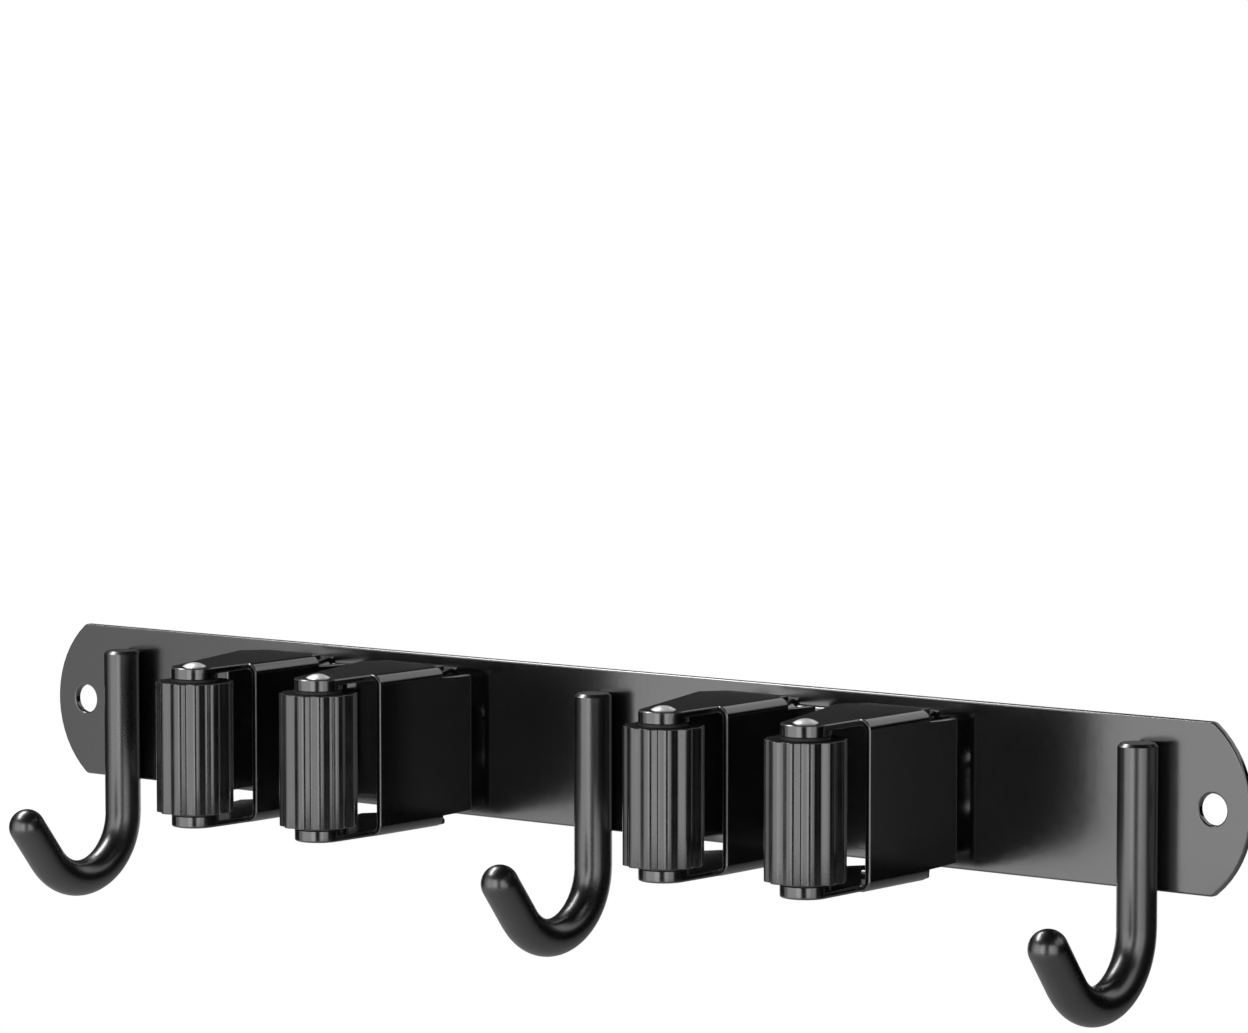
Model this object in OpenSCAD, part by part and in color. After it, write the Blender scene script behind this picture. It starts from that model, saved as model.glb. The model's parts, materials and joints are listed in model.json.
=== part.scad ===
// Wall rack for mops and brooms: a steel strip with hooks and sprung roller clips.
// Millimetres. The origin is the middle of the strip's back face, +Z is up and -Y faces the user.
// A "reach" is a distance forward of the strip's front face.

/* [Wall plate] */
// Length of the plate over its rounded ends
plate_l = 354; // [330:1:420]
// Height of the plate
plate_h = 38; // [36:0.5:46]
// Thickness of the plate
plate_t = 1.5; // [1:0.1:3]
// How far each rounded end stands out past its corners
end_rise = 9.5; // [6:0.5:14]
// Radius of the four corners
corner_r = 2; // [1:0.25:3]
// Diameter of the two screw holes
hole_d = 7; // [4:0.5:8]
// Distance from a plate end to its screw hole
hole_inset = 9.5; // [8:0.5:14]

/* [Hooks] */
// Distance from a plate end to its hook
hook_inset = 26; // [22:0.5:32]
// Diameter of the hook rod
rod_d = 8.9; // [6:0.1:10]
// Distance from the plate's top edge to the top of a hook
hook_top_drop = 5.3; // [3:0.1:10]
// Straight length of the hook rod on the plate
hook_shank_l = 40.4; // [36:0.2:50]
// Centreline radius of the hook's bend
hook_bend_r = 15.2; // [12:0.2:20]
// Angle that the hook's bend turns through
hook_bend_angle = 142; // [120:1:160]
// Straight length from the bend to the middle of the round tip
hook_arm_l = 11.3; // [6:0.1:18]
// Bevel round the cut top end of the rod
hook_bevel = 0.7; // [0.3:0.1:1.5]
// Depth of the flat by which the rod is welded to the plate
weld_flat = 0.3; // [0.1:0.05:0.6]

/* [Clips] */
// Distance between the two clips
clip_pitch = 140.6; // [130:0.2:146]
// Sideways shift of the clips from the plate's middle
clip_shift = 5; // [0:0.5:8]
// Distance of the clips' middle below the plate's middle
clip_drop = 0.9; // [0:0.1:1.5]
// Spacing of the two rollers in a clip
roller_pitch = 39; // [37:0.5:46]
// Reach of the roller axles
axle_reach = 49; // [46:0.5:58]
// Reach of the pins that the arms swing on
pivot_reach = 14; // [13:0.25:16]

/* [Swing arms] */
// Height of an arm over its flanges
arm_h = 38; // [34:0.5:46]
// Thickness of the arm sheet
sheet_t = 1.5; // [1:0.1:1.8]
// Inner radius of the bends between wall and flanges
bend_in_r = 1.1; // [0.8:0.1:2]
// Radius of the round nose that holds the axle
nose_r = 5.6; // [5:0.1:7]
// Reach of the wall's front edge
wall_front_reach = 36.5; // [30:0.5:37]
// Gap from the wall's back edge to the plate
wall_back_reach = 3.3; // [3:0.1:5]
// Reach of the bends' back end
bend_back_reach = 13.5; // [12:0.5:18]
// Reach of the flanges' back edge
flange_back_reach = 10; // [9:0.25:11]
// Distance from the axle to the flanges' outer corner, sideways
flange_overhang = 16; // [13:0.5:17]
// Size of the corner cut at the back of the flanges, sideways
flange_cut_x = 4.5; // [3:0.5:6]
// Size of the corner cut at the back of the flanges, forward
flange_cut_y = 6; // [4:0.5:8]

/* [Clip bases] */
// Thickness of the base sheet
base_t = 1.2; // [0.8:0.1:1.5]
// Distance from a left axle to the base's left side wall
left_wall_offset = 20.5; // [18:0.5:22]
// Reach of the base's left side wall
left_wall_reach = 16; // [8:0.5:18]
// Reach of the base's right side wall behind the spring
right_wall_reach = 10; // [6:0.25:10.25]
// Reach of the base's right side wall over and under the spring
right_tab_reach = 12.2; // [10.5:0.1:12.2]
// Width of an ear where it leaves the web
ear_root_w = 6.6; // [5:0.2:8]
// Gap between an ear and the flange that covers it
ear_gap = 0.4; // [0.3:0.05:0.8]
// Gap between an ear's round end and the arm's wall
ear_wall_gap = 0.9; // [0.6:0.1:1.4]
// Height of the stop tab beside a left arm
stop_tab_h = 20; // [14:0.5:26]
// Length of the stop wall beside a right arm
stop_wall_l = 9; // [8:0.25:12]
// Gap between a stop and the arm at rest
stop_gap = 0.1; // [0.05:0.05:0.2]

/* [Pins and springs] */
// Diameter of the pivot pins
pin_d = 3; // [2.5:0.1:3.2]
// Distance from the pivot pin to the arm's wall
pivot_inset = 4.8; // [4.6:0.1:5.2]
// Diameter of the spring wire
wire_d = 1.4; // [1:0.1:1.5]
// Gap between the spring coil and its pin
coil_pin_gap = 0.5; // [0.3:0.05:0.6]
// Turns of the spring coil
coil_turns = 5; // [4:1:7]
// Gap between the turns of the spring coil
coil_turn_gap = 0.6; // [0.45:0.05:1]
// Length of the spring leg that rests on the base
base_leg_l = 8.5; // [7.5:0.25:9]
// Length of the spring leg that pushes the arm
arm_leg_l = 9.5; // [7:0.25:9.5]

/* [Rollers] */
// Outer diameter of the rubber sleeve
roller_d = 18.2; // [16:0.1:20]
// Outer diameter of the roller core
core_d = 11; // [9:0.1:12]
// Number of grooves round the sleeve
groove_n = 12; // [10:1:14]
// Width of a groove
groove_w = 1.5; // [1:0.1:1.8]
// Diameter of the axle rivet
axle_d = 4; // [3:0.1:5]
// How far the axle's domed head overlaps the nose round its hole
head_lip = 0.8; // [0.6:0.1:1.3]
// Height of the axle's domed head
head_h = 0.9; // [0.6:0.1:1.4]
// How far the axle's countersunk foot flares
foot_flare = 0.7; // [0.5:0.1:1]
// Thickness of the collars between arm and roller
collar_t = 1.2; // [0.8:0.1:2]
// Gap between a collar and the rubber
rubber_gap = 0.8; // [0.5:0.1:1.2]
// End play of the roller core between its collars
core_play = 0.15; // [0.1:0.05:0.3]

/* [Hidden] */
$fn = 96;

// Overrun of every cut past the face that it opens
overrun = 1;
// Lap of a hook's straight stretches into its bend
bend_lap = 0.1;
// How much the rod's radius shrinks where it is bent
bend_thinning = 0.03;
// Radial gap of a part that turns on its pin
running_gap = 0.05;
// Radial gap of a part that is fixed on its pin
fixed_gap = 0.02;
// Gap between the spring wire and what its legs press on
leg_gap = 0.3;
// Gap between the spring coil and the stop tab behind it
tab_coil_gap = 1.6;
// Least inner radius of the base's bends
base_bend_in_r = 0.1;
// Height of an ear's upright root above the web's edge
ear_upright_h = 0.1;
// Sideways distance from a pivot pin to the root of its ears
ear_root_shift = 1.7;
// Distance from the pivot pin to the near end of a stop wall
stop_wall_start = 2.5;
// Share of a groove's half width by which its middle stands outside the sleeve
groove_lift_share = 0.13;
// Share of a round end's radius at which the slanting sides run into it
run_in_share = 0.995;

paint = "#161719";
bright_steel = "#d5d7d9";
spring_steel = "#9a9da1";
rubber = "#3a3b3d";
core_plastic = "#26272a";

// Spacing of the hooks along the plate
hook_pitch = plate_l / 2 - hook_inset;

// Sideways places, measured from a roller axle, and the stop's face from the pivot
wall_in_x = nose_r + bend_in_r;
pivot_x = wall_in_x - pivot_inset;
stop_x = wall_in_x - stop_gap;
stop_face_x = stop_x - pivot_x;

// Radii of bends, ears and coils
bend_r = bend_in_r + sheet_t;
base_bend_r = max(base_t + base_bend_in_r, bend_in_r - stop_gap);
ear_r = pivot_inset - ear_wall_gap;
coil_r = (pin_d + wire_d) / 2 + coil_pin_gap;
coil_pitch = wire_d + coil_turn_gap;
foot_r = axle_d / 2 + foot_flare;

// Heights, measured from the clip's middle
flange_in_z = arm_h / 2 - sheet_t;
ear_out_z = flange_in_z - ear_gap;
web_z = ear_out_z - base_bend_r - ear_upright_h;
collar_in_z = flange_in_z - collar_t;
rubber_h = 2 * (collar_in_z - rubber_gap);
core_h = 2 * (collar_in_z - core_play);

function clip_x(clip) = clip_shift + (clip - 1 / 2) * clip_pitch;
function axle_x(arm) = clip_x(floor(arm / 2)) + (arm % 2 - 1 / 2) * roller_pitch;
function opens_right(arm) = arm % 2 == 1;
function unit(v) = v / norm(v);
function turned(v, angle) = [v.x * cos(angle) - v.y * sin(angle), v.x * sin(angle) + v.y * cos(angle)];

// Point where a slanting side from a corner runs into a round end; side 1 keeps to the left of the end
function run_in_point(corner, centre, end_r, side) =
    let (r = end_r * run_in_share, way = centre - corner, run = sqrt(way * way - r * r))
    corner + turned(unit(way), side * asin(r / norm(way))) * run;

// Frame of an arm: the axle's X, the plate's front face and the clip's middle height
module at_arm(arm) {
    translate([axle_x(arm), -plate_t, -clip_drop])
        children();
}

module at_pivot(arm) {
    at_arm(arm)
        translate([pivot_x, -pivot_reach, 0])
            children();
}

module at_axle(arm) {
    at_arm(arm)
        translate([0, -axle_reach, 0])
            children();
}

// The same shape at the top and, mirrored, at the bottom
module top_and_bottom() {
    children();
    mirror([0, 0, 1])
        children();
}

// Section of a quarter bend of sheet, in the quadrant of +X and +Y
module quarter_ring(outer_r, thickness) {
    intersection() {
        difference() {
            circle(outer_r);
            circle(outer_r - thickness);
        }
        square(outer_r);
    }
}

// A quarter bend of sheet that runs along +Y, from a flat top to an upright right side
module sheet_bend(outer_r, thickness, run) {
    rotate([-90, 0, 0])
        linear_extrude(run)
            mirror([0, 1])
                quarter_ring(outer_r, thickness);
}

// Plate with bowed ends, rounded corners and a screw hole at each end
module wall_plate() {
    color(paint)
        rotate([90, 0, 0])
            linear_extrude(plate_t)
                difference() {
                    plate_outline();
                    for (side = [-1, 1])
                        translate([side * (plate_l / 2 - hole_inset), 0])
                            circle(d = hole_d);
                }
}

module plate_outline() {
    half_h = plate_h / 2;
    end_r = (half_h * half_h + end_rise * end_rise) / (2 * end_rise);
    end_x = plate_l / 2 - end_r;
    corner_x = plate_l / 2 - end_rise;
    round_z = half_h - corner_r;
    round_x = end_x + sqrt(pow(end_r - corner_r, 2) - pow(round_z, 2));
    bow_touch = [end_x, 0] + unit([round_x - end_x, round_z]) * end_r;
    difference() {
        union() {
            square([2 * corner_x, plate_h], center = true);
            for (side = [-1, 1])
                intersection() {
                    translate([side * end_x, 0])
                        circle(end_r);
                    translate([side * corner_x, 0])
                        square([2 * end_rise, plate_h], center = true);
                }
        }
        for (side = [-1, 1], level = [-1, 1])
            difference() {
                polygon([
                    [side * round_x, level * (half_h + overrun)],
                    [side * round_x, level * round_z],
                    [side * bow_touch.x, level * bow_touch.y],
                    [side * (bow_touch.x + overrun), level * (half_h + overrun)]
                ]);
                translate([side * round_x, level * round_z])
                    circle(corner_r);
            }
    }
}

// Round rod with a bevelled top, a J bend towards the user and a round tip
module hook(place) {
    axis_reach = rod_d / 2 - weld_flat;
    top_z = plate_h / 2 - hook_top_drop;
    bend_z = top_z - hook_shank_l;
    rod_r = rod_d / 2;
    color(paint)
        translate([place * hook_pitch, -plate_t, 0])
            difference() {
                translate([0, -axis_reach, 0])
                    union() {
                        translate([0, 0, bend_z - bend_lap])
                            cylinder(h = hook_shank_l - hook_bevel + bend_lap, r = rod_r);
                        translate([0, 0, top_z - hook_bevel])
                            cylinder(h = hook_bevel, r1 = rod_r, r2 = rod_r - hook_bevel);
                        translate([0, -hook_bend_r, bend_z])
                            rotate([0, -90, 0])
                                rotate([0, 0, 90])
                                    hook_bend();
                    }
                translate([-rod_d / 2, 0, -plate_h / 2])
                    cube([rod_d, rod_d, plate_h]);
            }
}

// The bend starts on +X and turns about +Z, and the straight arm and tip follow it
module hook_bend() {
    rotate_extrude(angle = hook_bend_angle)
        translate([hook_bend_r, 0])
            circle(rod_d / 2 - bend_thinning);
    rotate([0, 0, hook_bend_angle])
        translate([hook_bend_r, 0, 0])
            rotate([-90, 0, 0]) {
                translate([0, 0, -bend_lap])
                    cylinder(h = hook_arm_l + bend_lap, d = rod_d);
                translate([0, 0, hook_arm_l])
                    sphere(d = rod_d);
            }
}

// Web on the plate with two side walls, an ear over and under each pivot, and a stop for each arm
module clip_base(clip) {
    left_arm = 2 * clip;
    right_arm = left_arm + 1;
    web_left = axle_x(left_arm) - left_wall_offset + base_bend_r;
    web_right = axle_x(right_arm) + pivot_x - ear_root_shift;
    stop_tab_reach = pivot_reach - coil_r - wire_d / 2 - tab_coil_gap;
    right_tab_z = coil_h / 2 + wire_d;
    color(paint) {
        translate([web_left, -plate_t - base_t, -clip_drop - web_z])
            cube([web_right - web_left, base_t, 2 * web_z]);
        translate([web_right, -plate_t, -clip_drop]) {
            side_wall(right_wall_reach);
            top_and_bottom()
                translate([base_bend_r - base_t, -right_tab_reach, right_tab_z])
                    cube([base_t, right_tab_reach - right_wall_reach, web_z - right_tab_z]);
        }
        translate([web_left, -plate_t, -clip_drop])
            mirror([1, 0, 0])
                side_wall(left_wall_reach);
        for (arm = [left_arm, right_arm])
            at_pivot(arm)
                top_and_bottom()
                    ear(opens_right(arm));
        at_arm(left_arm)
            translate([stop_x - base_t, -stop_tab_reach, -stop_tab_h / 2])
                cube([base_t, stop_tab_reach - base_t, stop_tab_h]);
        at_pivot(right_arm)
            stop_wall();
    }
}

// Wall bent forward from a web that ends at the origin
module side_wall(reach) {
    translate([0, -base_bend_r, -web_z])
        linear_extrude(2 * web_z) {
            quarter_ring(base_bend_r, base_t);
            translate([base_bend_r - base_t, base_bend_r - reach])
                square([base_t, reach - base_bend_r]);
        }
}

// Ear with its pin at the origin; +Y is towards the plate
module ear(has_stop_wall) {
    root_right = -ear_root_shift;
    root_left = root_right - ear_root_w;
    bend_y = pivot_reach - base_bend_r;
    translate([0, 0, ear_out_z - base_t])
        linear_extrude(base_t)
            difference() {
                union() {
                    circle(ear_r);
                    polygon([
                        run_in_point([root_right, bend_y], [0, 0], ear_r, 1),
                        [root_right, bend_y],
                        [root_left, bend_y],
                        run_in_point([root_left, bend_y], [0, 0], ear_r, -1)
                    ]);
                    if (has_stop_wall)
                        translate([-ear_r, -stop_wall_start - stop_wall_l])
                            square([ear_r + stop_face_x - base_bend_r, stop_wall_l + stop_wall_start]);
                }
                circle(d = pin_d + 2 * fixed_gap);
            }
    translate([root_right, bend_y, ear_out_z - base_bend_r])
        rotate([0, 0, 90])
            sheet_bend(base_bend_r, base_t, ear_root_w);
    translate([root_left, pivot_reach - base_t, web_z])
        cube([ear_root_w, base_t, ear_upright_h]);
}

// Upright wall between a right arm's two ears, in front of the pivot
module stop_wall() {
    flat_z = ear_out_z - base_bend_r;
    far_y = -stop_wall_start - stop_wall_l;
    translate([stop_face_x - base_t, far_y, -flat_z])
        cube([base_t, stop_wall_l, 2 * flat_z]);
    top_and_bottom()
        translate([stop_face_x - base_bend_r, far_y, flat_z])
            sheet_bend(base_bend_r, base_t, stop_wall_l);
}

// Channel of bent sheet: a wall, and two flanges that end in the nose
module swing_arm(arm) {
    flat_z = arm_h / 2 - bend_r;
    color(paint)
        at_arm(arm) {
            translate([wall_in_x, -wall_front_reach, -flat_z])
                cube([sheet_t, wall_front_reach - wall_back_reach, 2 * flat_z]);
            top_and_bottom()
                translate([nose_r, -wall_front_reach, flat_z])
                    sheet_bend(bend_r, sheet_t, wall_front_reach - bend_back_reach);
            flange();
            mirror([0, 0, 1])
                difference() {
                    flange();
                    translate([0, -axle_reach, flange_in_z])
                        cylinder(h = sheet_t, r1 = axle_d / 2 + fixed_gap, r2 = foot_r + fixed_gap);
                }
        }
}

// Upper flange of an arm, with the holes for its axle and its pin
module flange() {
    side_corner = [-flange_overhang, -flange_back_reach - flange_cut_y];
    translate([0, 0, flange_in_z])
        linear_extrude(sheet_t)
            difference() {
                union() {
                    translate([0, -axle_reach])
                        circle(nose_r);
                    polygon([
                        [nose_r, -axle_reach],
                        [nose_r, -flange_back_reach],
                        [-flange_overhang + flange_cut_x, -flange_back_reach],
                        side_corner,
                        run_in_point(side_corner, [0, -axle_reach], nose_r, -1),
                        [0, -axle_reach]
                    ]);
                }
                translate([0, -axle_reach])
                    circle(d = axle_d + 2 * fixed_gap);
                translate([pivot_x, -pivot_reach])
                    circle(d = pin_d + 2 * running_gap);
            }
}

// Pin that an arm swings on, flush with the outer faces of the flanges
module pivot_pin(arm) {
    color(paint)
        at_pivot(arm)
            translate([0, 0, -arm_h / 2])
                cylinder(h = arm_h, d = pin_d);
}

// Rivet with a domed head over the upper nose and a countersunk foot in the lower one
module axle(arm) {
    head_r = axle_d / 2 + head_lip;
    dome_r = (pow(head_r, 2) + pow(head_h, 2)) / (2 * head_h);
    color(bright_steel)
        at_axle(arm) {
            translate([0, 0, -arm_h / 2])
                cylinder(h = arm_h, d = axle_d);
            translate([0, 0, -arm_h / 2])
                cylinder(h = sheet_t, r1 = foot_r, r2 = axle_d / 2);
            intersection() {
                translate([0, 0, arm_h / 2 + head_h - dome_r])
                    sphere(dome_r);
                translate([0, 0, arm_h / 2])
                    cylinder(h = head_h + overrun, r = head_r + overrun);
            }
        }
}

// Two collars that space the roller from the noses
module collars(arm) {
    color(paint)
        at_axle(arm)
            top_and_bottom()
                translate([0, 0, collar_in_z])
                    difference() {
                        cylinder(h = collar_t, r = nose_r);
                        translate([0, 0, -overrun])
                            cylinder(h = collar_t + 2 * overrun, d = axle_d + 2 * fixed_gap);
                    }
}

// Plastic bush that the rubber sleeve is pushed onto
module roller_core(arm) {
    color(core_plastic)
        at_axle(arm)
            translate([0, 0, -core_h / 2])
                difference() {
                    cylinder(h = core_h, d = core_d);
                    translate([0, 0, -overrun])
                        cylinder(h = core_h + 2 * overrun, d = axle_d + 2 * running_gap);
                }
}

// Rubber sleeve with grooves along its length
module roller_sleeve(arm) {
    groove_r = groove_w / 2;
    groove_middle_r = roller_d / 2 + groove_lift_share * groove_r;
    color(rubber)
        at_axle(arm)
            translate([0, 0, -rubber_h / 2])
                linear_extrude(rubber_h)
                    difference() {
                        circle(d = roller_d);
                        circle(d = core_d + 2 * fixed_gap);
                        for (turn = [0 : groove_n - 1])
                            rotate(360 * turn / groove_n)
                                translate([groove_middle_r, 0])
                                    circle(groove_r);
                    }
}

// Spring wire of a left arm, round its pivot: the base leg lies towards the plate,
// the coil winds clockwise as it climbs, and the arm leg ends against the arm's wall
rings_per_turn = 8;
ring_sides = 6;
coil_rings = rings_per_turn * coil_turns;
coil_h = coil_turns * coil_pitch;
arm_leg_x = pivot_inset - leg_gap - wire_d / 2;
base_leg_x = stop_face_x - base_t - leg_gap - wire_d / 2;
spring_path = concat(
    [[base_leg_x, base_leg_l, -coil_h / 2], [base_leg_x, base_leg_l - wire_d, -coil_h / 2]],
    [for (i = [0 : coil_rings])
        [coil_r * cos(360 * i / rings_per_turn), -coil_r * sin(360 * i / rings_per_turn),
         coil_h * (i / coil_rings - 1 / 2)]],
    [[arm_leg_x, wire_d - arm_leg_l, coil_h / 2], [arm_leg_x, -arm_leg_l, coil_h / 2]]
);
spring_last = len(spring_path) - 1;

function path_way(i) = unit(spring_path[min(i + 1, spring_last)] - spring_path[max(i - 1, 0)]);
function wire_ring(i) =
    let (way = path_way(i), side = unit(cross(way, [0, 0, 1])), up = cross(side, way))
    [for (k = [0 : ring_sides - 1])
        spring_path[i] + wire_d / 2 * (cos(360 * k / ring_sides) * side + sin(360 * k / ring_sides) * up)];

wire_points = [for (i = [0 : spring_last], p = wire_ring(i)) p];
wire_faces = concat(
    [for (k = [1 : ring_sides - 2]) [0, k, k + 1]],
    [for (k = [1 : ring_sides - 2]) [0, k + 1, k] + spring_last * ring_sides * [1, 1, 1]],
    [for (i = [0 : spring_last - 1], k = [0 : ring_sides - 1])
        let (a = i * ring_sides + k, b = i * ring_sides + (k + 1) % ring_sides)
        each [[a, a + ring_sides, b], [b, a + ring_sides, b + ring_sides]]]
);

// Least gap of the wire to itself, between path points more than half a turn apart
spring_self_gap = min([
    for (i = [0 : spring_last], j = [i + rings_per_turn / 2 : 1 : spring_last])
        norm(spring_path[i] - spring_path[j])
]) - wire_d;
echo(spring_self_gap = spring_self_gap);

module torsion_spring(arm) {
    color(spring_steel)
        at_pivot(arm)
            mirror([0, opens_right(arm) ? 1 : 0, 0])
                polyhedron(wire_points, wire_faces);
}

wall_plate();
hook(-1);  // left_hook
hook(0);  // middle_hook
hook(1);  // right_hook
clip_base(0);  // left_clip_base
clip_base(1);  // right_clip_base
swing_arm(0);  // left_clip_left_arm
pivot_pin(0);  // left_clip_left_pin
torsion_spring(0);  // left_clip_left_spring
axle(0);  // left_clip_left_axle
collars(0);  // left_clip_left_collars
roller_core(0);  // left_clip_left_core
roller_sleeve(0);  // left_clip_left_sleeve
swing_arm(1);  // left_clip_right_arm
pivot_pin(1);  // left_clip_right_pin
torsion_spring(1);  // left_clip_right_spring
axle(1);  // left_clip_right_axle
collars(1);  // left_clip_right_collars
roller_core(1);  // left_clip_right_core
roller_sleeve(1);  // left_clip_right_sleeve
swing_arm(2);  // right_clip_left_arm
pivot_pin(2);  // right_clip_left_pin
torsion_spring(2);  // right_clip_left_spring
axle(2);  // right_clip_left_axle
collars(2);  // right_clip_left_collars
roller_core(2);  // right_clip_left_core
roller_sleeve(2);  // right_clip_left_sleeve
swing_arm(3);  // right_clip_right_arm
pivot_pin(3);  // right_clip_right_pin
torsion_spring(3);  // right_clip_right_spring
axle(3);  // right_clip_right_axle
collars(3);  // right_clip_right_collars
roller_core(3);  // right_clip_right_core
roller_sleeve(3);  // right_clip_right_sleeve
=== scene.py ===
"""Looks of the wall mop holder rack, built around the CAD frame. Metres, +Z up, -Y towards the user."""
import json
import math

import bmesh
import bpy
from mathutils import Matrix, Vector


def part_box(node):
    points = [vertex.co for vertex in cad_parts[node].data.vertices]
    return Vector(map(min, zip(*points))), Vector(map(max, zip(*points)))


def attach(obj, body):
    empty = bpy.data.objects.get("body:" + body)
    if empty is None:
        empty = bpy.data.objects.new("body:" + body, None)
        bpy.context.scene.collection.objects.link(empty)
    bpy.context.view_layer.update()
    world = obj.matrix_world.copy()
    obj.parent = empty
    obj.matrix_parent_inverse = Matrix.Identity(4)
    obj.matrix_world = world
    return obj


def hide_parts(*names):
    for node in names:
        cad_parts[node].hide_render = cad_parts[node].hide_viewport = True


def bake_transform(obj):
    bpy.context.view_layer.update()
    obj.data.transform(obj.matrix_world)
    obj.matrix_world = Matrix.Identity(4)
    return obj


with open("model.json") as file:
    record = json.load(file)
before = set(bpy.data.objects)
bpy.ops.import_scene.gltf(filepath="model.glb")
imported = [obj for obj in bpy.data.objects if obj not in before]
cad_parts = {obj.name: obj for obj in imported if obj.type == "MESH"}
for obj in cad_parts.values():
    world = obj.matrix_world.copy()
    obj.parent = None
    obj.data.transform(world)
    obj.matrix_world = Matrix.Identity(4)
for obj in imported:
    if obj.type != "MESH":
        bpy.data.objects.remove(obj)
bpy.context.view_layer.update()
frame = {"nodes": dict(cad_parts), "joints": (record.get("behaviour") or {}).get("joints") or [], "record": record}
nodes = frame["nodes"]
scene = bpy.context.scene
MM = 0.001

ARMS = ("left_clip_left", "left_clip_right", "right_clip_left", "right_clip_right")
HOOKS = ("left_hook", "middle_hook", "right_hook")
BASES = ("left_clip_base", "right_clip_base")
joints = {joint["name"]: joint for joint in frame["joints"]}


# Camera at the photo's viewing angle, without lens shift
CAMERA_AZIMUTH = math.radians(38.368)
CAMERA_PITCH = math.radians(4.731)
camera_data = bpy.data.cameras.new("camera")
camera_data.lens = 159.28
camera_data.sensor_width = 36.0
camera_data.clip_start = 0.05
camera_data.clip_end = 30.0
camera = bpy.data.objects.new("camera", camera_data)
camera.location = (0.80021, -1.00481, 0.16098)
camera.rotation_euler = (math.pi / 2 - CAMERA_PITCH, 0.0, CAMERA_AZIMUTH)
scene.collection.objects.link(camera)
scene.camera = camera


# Node helpers
def new_material(name):
    material = bpy.data.materials.new(name)
    material.use_nodes = True
    tree = material.node_tree
    return material, tree, tree.nodes["Principled BSDF"]


def add(tree, kind, **values):
    made = tree.nodes.new(kind)
    for key, value in values.items():
        if key in made.inputs:
            made.inputs[key].default_value = value
        else:
            setattr(made, key, value)
    return made


def object_coordinates(tree, scale=(1.0, 1.0, 1.0)):
    place = add(tree, "ShaderNodeTexCoord")
    mapping = add(tree, "ShaderNodeMapping")
    mapping.inputs["Scale"].default_value = scale
    tree.links.new(place.outputs["Object"], mapping.inputs["Vector"])
    return mapping.outputs["Vector"]


def noise(tree, vector, scale, detail=3.0, roughness=0.5):
    made = add(tree, "ShaderNodeTexNoise", Scale=scale, Detail=detail, Roughness=roughness)
    tree.links.new(vector, made.inputs["Vector"])
    return made.outputs["Fac"]


def spread(tree, value, low, high, start=0.3, end=0.7):
    made = add(tree, "ShaderNodeMapRange")
    for key, number in (("From Min", start), ("From Max", end), ("To Min", low), ("To Max", high)):
        made.inputs[key].default_value = number
    tree.links.new(value, made.inputs["Value"])
    return made.outputs["Result"]


def ramp(tree, value, stops):
    made = add(tree, "ShaderNodeValToRGB")
    elements = made.color_ramp.elements
    while len(elements) < len(stops):
        elements.new(0.5)
    for element, (place, colour) in zip(elements, stops):
        element.position = place
        element.color = (*colour, 1.0)
    tree.links.new(value, made.inputs["Fac"])
    return made.outputs["Color"]


def maths(tree, operation, a, b):
    made = add(tree, "ShaderNodeMath", operation=operation)
    for socket, value in zip(made.inputs, (a, b)):
        if isinstance(value, (int, float)):
            socket.default_value = value
        else:
            tree.links.new(value, socket)
    return made.outputs["Value"]


def bump(tree, shader, height, strength, distance):
    made = add(tree, "ShaderNodeBump", Strength=strength, Distance=distance)
    tree.links.new(height, made.inputs["Height"])
    tree.links.new(made.outputs["Normal"], shader.inputs["Normal"])


# Materials
def paint_material(name, smoothest, roughest, peel_strength):
    material, tree, shader = new_material(name)
    place = object_coordinates(tree)
    patches = noise(tree, place, 38.0, 4.0)
    grain = noise(tree, place, 900.0, 2.0)
    peel = noise(tree, place, 420.0, 1.0, 0.4)
    # Rounded edges painted lighter, up to grey 0.05: partly coating worn thin, partly a painted highlight along
    # the edges
    edge = add(tree, "ShaderNodeAttribute", attribute_name="edge_wear_and_highlight").outputs["Fac"]
    worn_and_highlit = maths(tree, "MULTIPLY", edge, spread(tree, noise(tree, place, 160.0, 4.0), 0.55, 1.0))
    tone = maths(tree, "ADD", spread(tree, patches, 0.1, 0.3), maths(tree, "MULTIPLY", worn_and_highlit, 0.7))
    colour = ramp(tree, tone, ((0.0, (0.0006, 0.0006, 0.00065)), (0.35, (0.0016, 0.0016, 0.0017)),
                               (1.0, (0.05, 0.05, 0.052))))
    tree.links.new(colour, shader.inputs["Base Color"])
    base_rough = spread(tree, patches, smoothest, roughest)
    fine_rough = spread(tree, grain, -0.01, 0.01)
    coat_rough = maths(tree, "ADD", base_rough, fine_rough)
    rough = maths(tree, "ADD", coat_rough, maths(tree, "MULTIPLY", worn_and_highlit, 0.08))
    tree.links.new(rough, shader.inputs["Roughness"])
    shader.inputs["IOR"].default_value = 2.0
    bump(tree, shader, peel, peel_strength, 0.0004)
    return material


def rivet_material():
    material, tree, shader = new_material("polished_steel")
    place = object_coordinates(tree)
    stain = noise(tree, place, 300.0, 4.0)
    scratches = noise(tree, object_coordinates(tree, (1.0, 1.0, 12.0)), 1500.0, 2.0)
    # Near-white colour, half of it diffuse through metallic 0.5: a painted highlight standing in for the top
    # light's reflection on the heads
    colour = ramp(tree, stain, ((0.3, (0.84, 0.84, 0.85)), (0.75, (0.92, 0.92, 0.93))))
    tree.links.new(colour, shader.inputs["Base Color"])
    shader.inputs["Metallic"].default_value = 0.5
    tree.links.new(spread(tree, scratches, 0.28, 0.4), shader.inputs["Roughness"])
    bump(tree, shader, scratches, 0.05, 0.0001)
    return material


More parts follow.
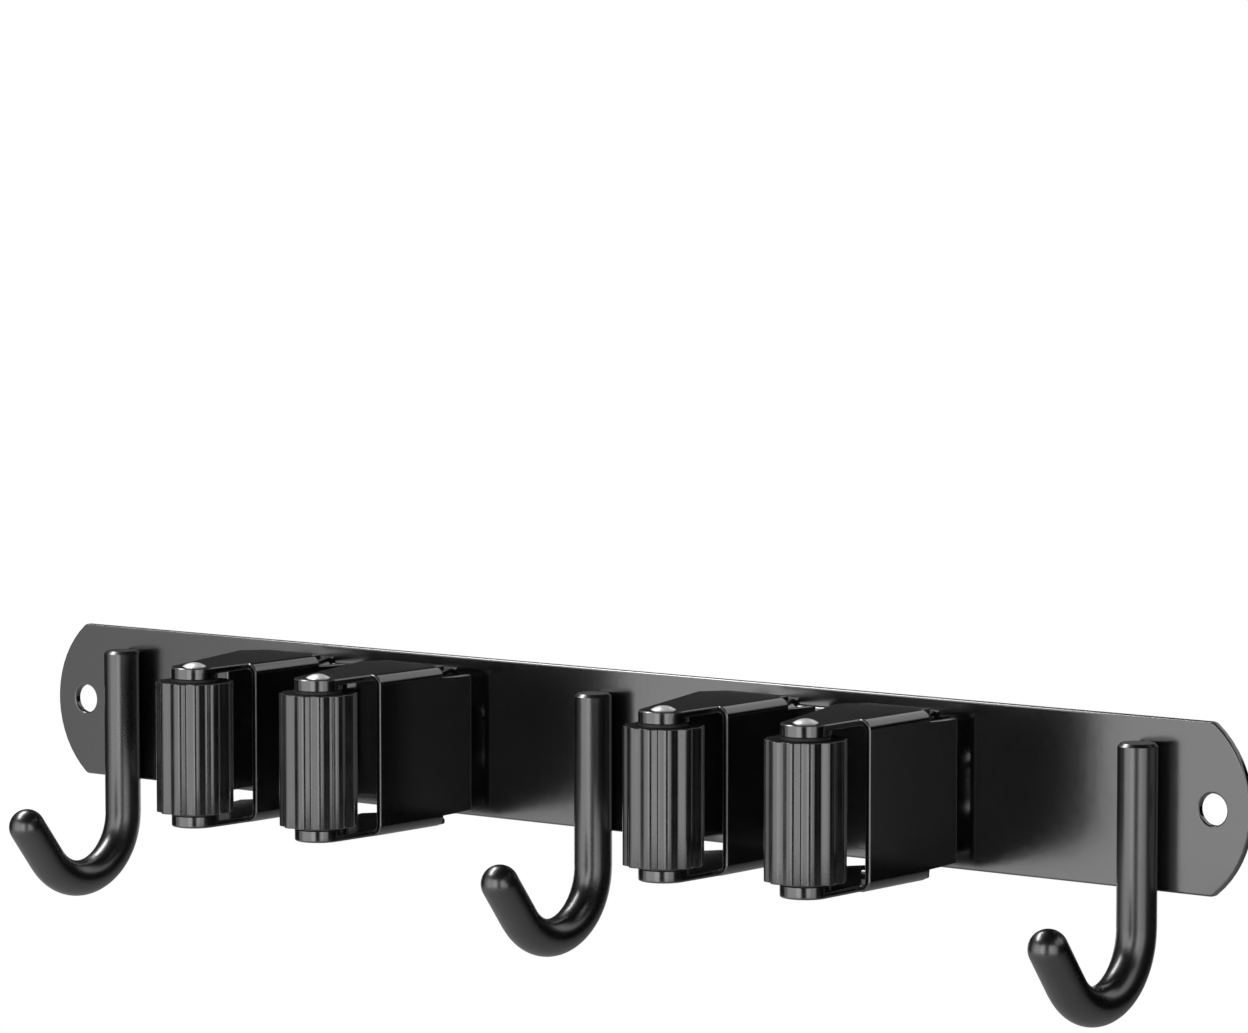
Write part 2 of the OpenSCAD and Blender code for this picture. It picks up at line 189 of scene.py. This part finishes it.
def spring_material():
    material, tree, shader = new_material("spring_steel")
    place = object_coordinates(tree)
    drawn = noise(tree, object_coordinates(tree, (1.0, 1.0, 0.2)), 2400.0, 2.0)
    stain = noise(tree, place, 220.0, 4.0)
    colour = ramp(tree, stain, ((0.25, (0.3, 0.3, 0.31)), (0.75, (0.52, 0.52, 0.53))))
    tree.links.new(colour, shader.inputs["Base Color"])
    shader.inputs["Metallic"].default_value = 1.0
    tree.links.new(spread(tree, drawn, 0.24, 0.4), shader.inputs["Roughness"])
    bump(tree, shader, drawn, 0.08, 0.0001)
    return material


def rubber_material():
    material, tree, shader = new_material("ribbed_rubber")
    place = object_coordinates(tree)
    grain = noise(tree, place, 2600.0, 3.0)
    patches = noise(tree, place, 140.0, 4.0)
    streaks = noise(tree, object_coordinates(tree, (1.0, 1.0, 0.08)), 700.0, 3.0)
    edge = add(tree, "ShaderNodeAttribute", attribute_name="edge_wear_and_highlight").outputs["Fac"]
    cut = add(tree, "ShaderNodeAttribute", attribute_name="cut_end").outputs["Fac"]
    # Groove lips and rounded ends painted lighter: partly rubbed rubber, partly a painted highlight
    tone = maths(tree, "ADD", spread(tree, patches, 0.15, 0.5), maths(tree, "MULTIPLY", edge, 0.35))
    # End faces painted down to a tenth of the tone: painted shade in the gap under the nose discs
    tone = maths(tree, "MULTIPLY", tone, spread(tree, cut, 1.0, 0.1, 0.0, 1.0))
    colour = ramp(tree, tone, ((0.0, (0.002, 0.002, 0.0021)), (0.5, (0.014, 0.014, 0.0145)),
                               (1.0, (0.03, 0.03, 0.031))))
    tree.links.new(colour, shader.inputs["Base Color"])
    rough = maths(tree, "ADD", spread(tree, streaks, 0.13, 0.18), spread(tree, patches, -0.02, 0.04))
    tree.links.new(maths(tree, "ADD", rough, maths(tree, "MULTIPLY", cut, 0.5)), shader.inputs["Roughness"])
    tree.links.new(spread(tree, cut, 0.5, 0.04, 0.0, 1.0), shader.inputs["Specular IOR Level"])
    shader.inputs["IOR"].default_value = 1.85
    bump(tree, shader, grain, 0.12, 0.00008)
    return material


def core_material():
    material, tree, shader = new_material("core_plastic")
    place = object_coordinates(tree)
    grain = noise(tree, place, 1800.0, 2.0)
    patches = noise(tree, place, 200.0, 3.0)
    colour = ramp(tree, patches, ((0.3, (0.012, 0.012, 0.013)), (0.7, (0.024, 0.024, 0.026))))
    tree.links.new(colour, shader.inputs["Base Color"])
    tree.links.new(spread(tree, grain, 0.42, 0.56), shader.inputs["Roughness"])
    bump(tree, shader, grain, 0.1, 0.0001)
    return material


PAINT = paint_material("black_paint", 0.17, 0.2, 0.03)
ROD_PAINT = paint_material("black_paint_rod", 0.27, 0.31, 0.01)
RIVET = rivet_material()
SPRING = spring_material()
RUBBER = rubber_material()
CORE = core_material()
MATERIALS = {"black_paint": PAINT, "polished_steel": RIVET, "spring_steel": SPRING,
             "ribbed_rubber": RUBBER, "core_plastic": CORE}


def finish_piece(name, mesh, material, body, replaced=()):
    mesh.materials.clear()
    mesh.materials.append(material)
    piece = bpy.data.objects.new(name, mesh)
    scene.collection.objects.link(piece)
    if body:
        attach(piece, body)
    if replaced:
        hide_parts(*replaced)
    return piece


# Every CAD node gets its slot's material
for part in frame["record"]["subparts"]:
    cad = nodes[part["node"]]
    cad.data.materials.clear()
    cad.data.materials.append(ROD_PAINT if part["node"] in HOOKS else MATERIALS[part["material_slot"]])
body_of = {name: body for body, names in frame["record"]["behaviour"]["bodies"].items() for name in names}


# Painted sheet parts with their edges rounded as stamped and coated sheet has them
EDGE_ANGLE = math.radians(28.0)
FLAT_ANGLE = math.radians(0.6)
WELD_GAP = 0.002 * MM
SAME_PLACE = 0.01 * MM
PLATE_EDGE = 0.5 * MM
PLATE_EDGE_STEPS = 4
ARM_EDGE = 0.5 * MM
COLLAR_EDGE = 0.1 * MM
BASE_EDGE = 0.4 * MM
BASE_SHORT_EDGE = 3.0 * MM
PIVOT_HOLE_REACH = 2.0 * MM
AXLE_HOLE_REACH = 3.5 * MM


def softened(name, width, crisp, segments=3):
    """A rounded copy of a CAD node, apart from the edges that crisp() picks."""
    bm = bmesh.new()
    bm.from_mesh(nodes[name].data)
    bmesh.ops.remove_doubles(bm, verts=bm.verts, dist=WELD_GAP)
    bmesh.ops.dissolve_limit(bm, angle_limit=FLAT_ANGLE, verts=bm.verts, edges=bm.edges)
    sharp = [e for e in bm.edges if e.is_convex and e.calc_face_angle(0.0) > EDGE_ANGLE]
    result = bmesh.ops.bevel(bm, geom=[e for e in sharp if not crisp(e)], offset=width, offset_type="OFFSET",
                             segments=segments, profile=0.5, affect="EDGES", clamp_overlap=False)
    for edge in bm.edges:
        edge.smooth = edge.calc_face_angle(0.0) <= EDGE_ANGLE
    # Mask over the rounded faces, which the paint turns lighter: partly edge wear, partly a painted highlight
    layer = bm.loops.layers.float.new("edge_wear_and_highlight")
    rounded = set(result["faces"])
    for face in rounded:
        for loop in face.loops:
            around_it = loop.vert.link_faces
            loop[layer] = (sum(other in rounded for other in around_it) / len(around_it)) ** 2
    for face in bm.faces:
        face.smooth = True
    mesh = bpy.data.meshes.new(name + "_softened")
    bm.to_mesh(mesh)
    bm.free()
    piece = finish_piece(name + "_coated", mesh, PAINT, body_of[name], (name,))
    normals = piece.modifiers.new("flat faces stay flat", "WEIGHTED_NORMAL")
    normals.keep_sharp = True
    normals.weight = 100


def near_axis(edge, axis, radius):
    return all(math.hypot(v.co.x - axis.x, v.co.y - axis.y) < radius for v in edge.verts)


def at_height(edge, heights):
    return any(all(abs(v.co.z - height) < SAME_PLACE for v in edge.verts) for height in heights)


def on_the_wall(edge):
    return all(abs(v.co.y - plate_back) < SAME_PLACE for v in edge.verts)


def short_edge(edge):
    return edge.calc_length() < BASE_SHORT_EDGE


def soften_arm(arm):
    axle = Vector(joints[arm + "_spin"]["pos_m"])
    pivot = Vector(joints[arm + "_swing"]["pos_m"])
    low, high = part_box(arm + "_collars")
    seams = (low.z, high.z)
    nose_r = (high.x - low.x) / 2 + SAME_PLACE

    def holes_and_seam(edge):
        return (near_axis(edge, pivot, PIVOT_HOLE_REACH) or near_axis(edge, axle, AXLE_HOLE_REACH)
                or at_height(edge, seams) and near_axis(edge, axle, nose_r))

    def seam_or_bore(edge):
        return at_height(edge, seams) or near_axis(edge, axle, AXLE_HOLE_REACH)

    softened(arm + "_arm", ARM_EDGE, holes_and_seam)
    softened(arm + "_collars", COLLAR_EDGE, seam_or_bore)


plate_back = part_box("wall_plate")[1].y
softened("wall_plate", PLATE_EDGE, on_the_wall, PLATE_EDGE_STEPS)
for arm in ARMS:
    soften_arm(arm)
for base in BASES:
    softened(base, BASE_EDGE, short_edge)


# Springs as smooth wound wire, with the base leg on the rack and the other leg on the arm
WIRE_R = 0.7 * MM
COIL_R = 2.7 * MM
COIL_TURNS = 5
COIL_H = 10.0 * MM
BASE_LEG = (2.5 * MM, 8.5 * MM)
ARM_LEG = (3.8 * MM, 9.5 * MM)
STEPS_PER_TURN = 36
LEG_STEPS = 8
WIRE_SIDES = 14


def spring_path(mirrored):
    points = []
    for i in range(LEG_STEPS):
        share = i / LEG_STEPS
        x = BASE_LEG[0] + (COIL_R - BASE_LEG[0]) * share ** 2
        points.append(Vector((x, BASE_LEG[1] * (1.0 - share), -COIL_H / 2)))
    for i in range(COIL_TURNS * STEPS_PER_TURN + 1):
        turn = 2 * math.pi * i / STEPS_PER_TURN
        z = COIL_H * (i / (COIL_TURNS * STEPS_PER_TURN) - 0.5)
        points.append(Vector((COIL_R * math.cos(turn), -COIL_R * math.sin(turn), z)))
    for i in range(1, LEG_STEPS + 1):
        share = i / LEG_STEPS
        x = COIL_R + (ARM_LEG[0] - COIL_R) * share ** 2
        points.append(Vector((x, -ARM_LEG[1] * share, COIL_H / 2)))
    if mirrored:
        points = [Vector((p.x, -p.y, p.z)) for p in points]
    return points


def tube(name, points, radius, sides, origin):
    bm = bmesh.new()
    rings = []
    up = Vector((0.0, 0.0, 1.0))
    for i, point in enumerate(points):
        way = (points[min(i + 1, len(points) - 1)] - points[max(i - 1, 0)]).normalized()
        side = way.cross(up).normalized()
        over = side.cross(way)
        ring = []
        for k in range(sides):
            angle = 2 * math.pi * k / sides
            out = math.cos(angle) * side + math.sin(angle) * over
            ring.append(bm.verts.new(origin + point + radius * out))
        rings.append(ring)
    for a, b in zip(rings, rings[1:]):
        for k in range(sides):
            n = (k + 1) % sides
            bm.faces.new((a[k], a[n], b[n], b[k]))
    bm.faces.new(rings[0][::-1])
    bm.faces.new(rings[-1])
    bmesh.ops.recalc_face_normals(bm, faces=bm.faces)
    for face in bm.faces:
        face.smooth = len(face.verts) == 4
    mesh = bpy.data.meshes.new(name)
    bm.to_mesh(mesh)
    bm.free()
    return mesh


for number, arm in enumerate(ARMS):
    pivot = Vector(joints[arm + "_swing"]["pos_m"])
    mesh = tube(arm + "_wire", spring_path(number % 2 == 1), WIRE_R, WIRE_SIDES, pivot)
    wire = finish_piece(arm + "_wire", mesh, SPRING, None, (arm + "_spring",))
    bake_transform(wire)


# Rubber sleeves with rounded ribs, groove lips and ends
SLEEVE_R = 9.1 * MM
BORE_R = 5.52 * MM
GROOVES = 12
GROOVE_HALF_W = 0.75 * MM
GROOVE_DEPTH = 0.66 * MM
LIP_W = 0.15 * MM
CROWN_DROP = 0.42 * MM
RIB_STEPS = 10
GROOVE_STEPS = 12
END_ROUND = 0.18 * MM
END_STEPS = 5


def rib_outline():
    """Angles and depths below the crown round the sleeve, with grooves centred on multiples of the pitch."""
    pitch = 2 * math.pi / GROOVES
    half = (GROOVE_HALF_W + LIP_W) / SLEEVE_R
    outline = []
    for groove in range(GROOVES):
        middle = groove * pitch
        for i in range(GROOVE_STEPS):
            share = -1.0 + 2.0 * i / GROOVE_STEPS
            depth = CROWN_DROP + (GROOVE_DEPTH - CROWN_DROP) * (0.5 + 0.5 * math.cos(math.pi * share)) ** 0.6
            outline.append((middle + half * share, depth, abs(share)))
        for i in range(RIB_STEPS):
            angle = middle + half + (pitch - 2 * half) * i / RIB_STEPS
            outline.append((angle, CROWN_DROP * (2.0 * i / RIB_STEPS - 1.0) ** 2, 0.0))
    return outline


def sleeve_mesh(name, low, high):
    centre = (low + high) / 2
    outline = rib_outline()
    profile = [(low.z + END_ROUND * (1 - math.cos(math.pi / 2 * i / END_STEPS)),
                END_ROUND * (1 - math.sin(math.pi / 2 * i / END_STEPS))) for i in range(END_STEPS + 1)]
    profile += [(low.z + high.z - z, inset) for z, inset in reversed(profile)]
    bm = bmesh.new()
    # Lighter groove lips and rounded ends: partly wear, partly a painted highlight
    rubbed_and_lit = bm.verts.layers.float.new("edge_wear_and_highlight")
    cut = bm.verts.layers.float.new("cut_end")
    rings = []
    for z, inset in profile:
        ring = []
        for angle, depth, lip in outline:
            r = SLEEVE_R - depth - inset
            vert = bm.verts.new((centre.x + r * math.cos(angle), centre.y + r * math.sin(angle), z))
            vert[rubbed_and_lit] = max(inset / END_ROUND, lip if lip > 0.7 else 0.0)
            # cut_end rises towards the end faces, where the rubber is painted darker as shade
            vert[cut] = inset / END_ROUND
            ring.append(vert)
        rings.append(ring)
    bore = []
    for z in (high.z, low.z):
        bore.append([bm.verts.new((centre.x + BORE_R * math.cos(a), centre.y + BORE_R * math.sin(a), z))
                     for a, depth, lip in outline])
        for vert in bore[-1]:
            vert[cut] = 1.0
    rings = rings + bore
    count = len(outline)
    for a, b in zip(rings, rings[1:] + rings[:1]):
        for k in range(count):
            n = (k + 1) % count
            bm.faces.new((a[k], a[n], b[n], b[k]))
    bmesh.ops.recalc_face_normals(bm, faces=bm.faces)
    for face in bm.faces:
        face.smooth = True
    mesh = bpy.data.meshes.new(name)
    bm.to_mesh(mesh)
    bm.free()
    mesh.set_sharp_from_angle(angle=math.radians(50.0))
    return mesh


for arm in ARMS:
    mesh = sleeve_mesh(arm + "_rubber", *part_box(arm + "_sleeve"))
    finish_piece(arm + "_rubber", mesh, RUBBER, arm + "_roller", (arm + "_sleeve",))


# Pale floor well below the rack, fading into the white surround
FLOOR_Y = -0.02
FLOOR_Z = -0.36
FLOOR_SOLID_R = 0.55
FLOOR_FADE_R = 1.0


def floor_material():
    material, tree, shader = new_material("pale_floor")
    place = add(tree, "ShaderNodeTexCoord")
    length = add(tree, "ShaderNodeVectorMath", operation="LENGTH")
    tree.links.new(place.outputs["Object"], length.inputs[0])
    mottle = noise(tree, object_coordinates(tree), 30.0, 3.0)
    tree.links.new(ramp(tree, mottle, ((0.3, (0.84, 0.84, 0.84)), (0.7, (0.87, 0.87, 0.87)))),
                   shader.inputs["Base Color"])
    shader.inputs["Roughness"].default_value = 0.8
    alpha = spread(tree, length.outputs["Value"], 1.0, 0.0, FLOOR_SOLID_R, FLOOR_FADE_R)
    tree.links.new(alpha, shader.inputs["Alpha"])
    return material


bpy.ops.mesh.primitive_circle_add(vertices=96, radius=FLOOR_FADE_R, fill_type="NGON",
                                  location=(0.0, FLOOR_Y, FLOOR_Z))
floor = bpy.context.object
floor.name = "floor"
floor.data.materials.append(floor_material())


# White surround for what the camera and the gloss see, and a plain soft level for the rest
def white_world(ambient):
    world = bpy.data.worlds.new("white_surround")
    world.use_nodes = True
    scene.world = world
    tree = world.node_tree
    tree.nodes.clear()
    path = add(tree, "ShaderNodeLightPath")
    shown = maths(tree, "MAXIMUM", path.outputs["Is Camera Ray"],
                  maths(tree, "MAXIMUM", path.outputs["Is Glossy Ray"], path.outputs["Is Transmission Ray"]))
    soft = add(tree, "ShaderNodeBackground", Color=(1.0, 1.0, 1.0, 1.0), Strength=ambient)
    white = add(tree, "ShaderNodeBackground", Color=(1.0, 1.0, 1.0, 1.0), Strength=1.0)
    mix = add(tree, "ShaderNodeMixShader")
    out = add(tree, "ShaderNodeOutputWorld")
    tree.links.new(shown, mix.inputs["Fac"])
    tree.links.new(soft.outputs["Background"], mix.inputs[1])
    tree.links.new(white.outputs["Background"], mix.inputs[2])
    tree.links.new(mix.outputs["Shader"], out.inputs["Surface"])


white_world(0.15)


# Studio softboxes and dark cards, placed by azimuth from straight in front, and facing the rack
def around(azimuth, distance, height):
    angle = math.radians(azimuth)
    return Vector((math.sin(angle) * distance, -math.cos(angle) * distance, height))


def facing(place, target=Vector((0.0, 0.0, 0.0))):
    return (target - place).to_track_quat("-Z", "Y").to_euler()


def lamp(name, place, target, width, height, radiance):
    data = bpy.data.lights.new(name, "AREA")
    data.shape = "RECTANGLE"
    data.size = width
    data.size_y = height
    data.energy = radiance * math.pi * width * height
    made = bpy.data.objects.new(name, data)
    made.location = place
    made.rotation_euler = facing(place, target)
    made.visible_camera = False
    scene.collection.objects.link(made)


BOX_LOW = -0.3
BOX_HIGH = 0.5
LEFT_BOX_DISTANCE = 1.0
RIGHT_BOX_DISTANCE = 1.1
STRIP_PLACE = Vector((-0.765, -0.17, 1.0))
STRIP_W = 0.37
STRIP_L = 1.15
STRIP_RADIANCE = 13.0


def softbox(name, start, end, distance, radiance):
    middle = around((start + end) / 2, distance, (BOX_LOW + BOX_HIGH) / 2)
    width = 2 * distance * math.tan(math.radians(end - start) / 2)
    lamp(name, middle, Vector((0.0, 0.0, middle.z)), width, BOX_HIGH - BOX_LOW, radiance)


softbox("softbox_side", -64.0, -46.0, LEFT_BOX_DISTANCE, 0.8)
softbox("softbox_between", -46.0, -41.0, LEFT_BOX_DISTANCE, 1.3)
softbox("softbox_left", -41.0, 2.0, LEFT_BOX_DISTANCE, 1.9)
softbox("softbox_front", 2.0, 22.0, LEFT_BOX_DISTANCE, 2.8)
softbox("softbox_right", 43.0, 60.0, RIGHT_BOX_DISTANCE, 2.3)
softbox("softbox_far_right", 60.0, 83.0, RIGHT_BOX_DISTANCE, 1.5)
below_strip = Vector((STRIP_PLACE.x, STRIP_PLACE.y, 0.0))
lamp("softbox_above", STRIP_PLACE, below_strip, STRIP_W, STRIP_L, STRIP_RADIANCE)


CARD_DISTANCE = 1.35
CARD_STEPS = 12
CARD_LOW = -0.34
BACK_CARD_LOW = -0.02
CARD_HIGH = 1.35
RIGHT_CARD_HIGH = 0.54
BACK_CARD_HIGH = 0.64
CEILING_Z = 1.2
CEILING_R = 1.2
LOW_CARD_Z = -0.345


def card(name, bm, tone):
    """Only reflections see a card: it is hidden from the camera, shadows and diffuse light."""
    material, tree, shader = new_material(name)
    felt = noise(tree, object_coordinates(tree), 60.0, 3.0)
    tree.links.new(ramp(tree, felt, ((0.3, (0.7 * tone,) * 3), (0.7, (1.3 * tone,) * 3))),
                   shader.inputs["Base Color"])
    shader.inputs["Roughness"].default_value = 1.0
    shader.inputs["Specular IOR Level"].default_value = 0.0
    mesh = bpy.data.meshes.new(name)
    bm.to_mesh(mesh)
    bm.free()
    mesh.materials.append(material)
    made = bpy.data.objects.new(name, mesh)
    made.visible_camera = False
    made.visible_shadow = False
    made.visible_diffuse = False
    scene.collection.objects.link(made)


def level_card(name, height, radius, tone):
    bm = bmesh.new()
    bmesh.ops.create_circle(bm, cap_ends=True, segments=48, radius=radius,
                            matrix=Matrix.Translation((0.0, 0.0, height)))
    card(name, bm, tone)


def dark_card(name, start, end, low, high, tone):
    bm = bmesh.new()
    pairs = []
    for i in range(CARD_STEPS + 1):
        azimuth = start + (end - start) * i / CARD_STEPS
        pairs.append([bm.verts.new(around(azimuth, CARD_DISTANCE, height)) for height in (low, high)])
    for a, b in zip(pairs, pairs[1:]):
        bm.faces.new((a[0], b[0], b[1], a[1]))
    card(name, bm, tone)


dark_card("dark_card_front", -66.0, 84.0, CARD_LOW, CARD_HIGH, 0.006)
dark_card("dark_card_right", 84.0, 175.0, CARD_LOW, RIGHT_CARD_HIGH, 0.006)
dark_card("dark_card_back", 175.0, 205.0, BACK_CARD_LOW, BACK_CARD_HIGH, 0.06)
dark_card("dark_card_back_left", 205.0, 248.0, BACK_CARD_LOW, CARD_HIGH, 0.06)
dark_card("dark_card_left", 248.0, 294.0, CARD_LOW, CARD_HIGH, 0.03)
level_card("dark_card_above", CEILING_Z, CEILING_R, 0.03)
level_card("grey_card_below", LOW_CARD_Z, CARD_DISTANCE, 0.5)


scene.view_settings.view_transform = "Standard"
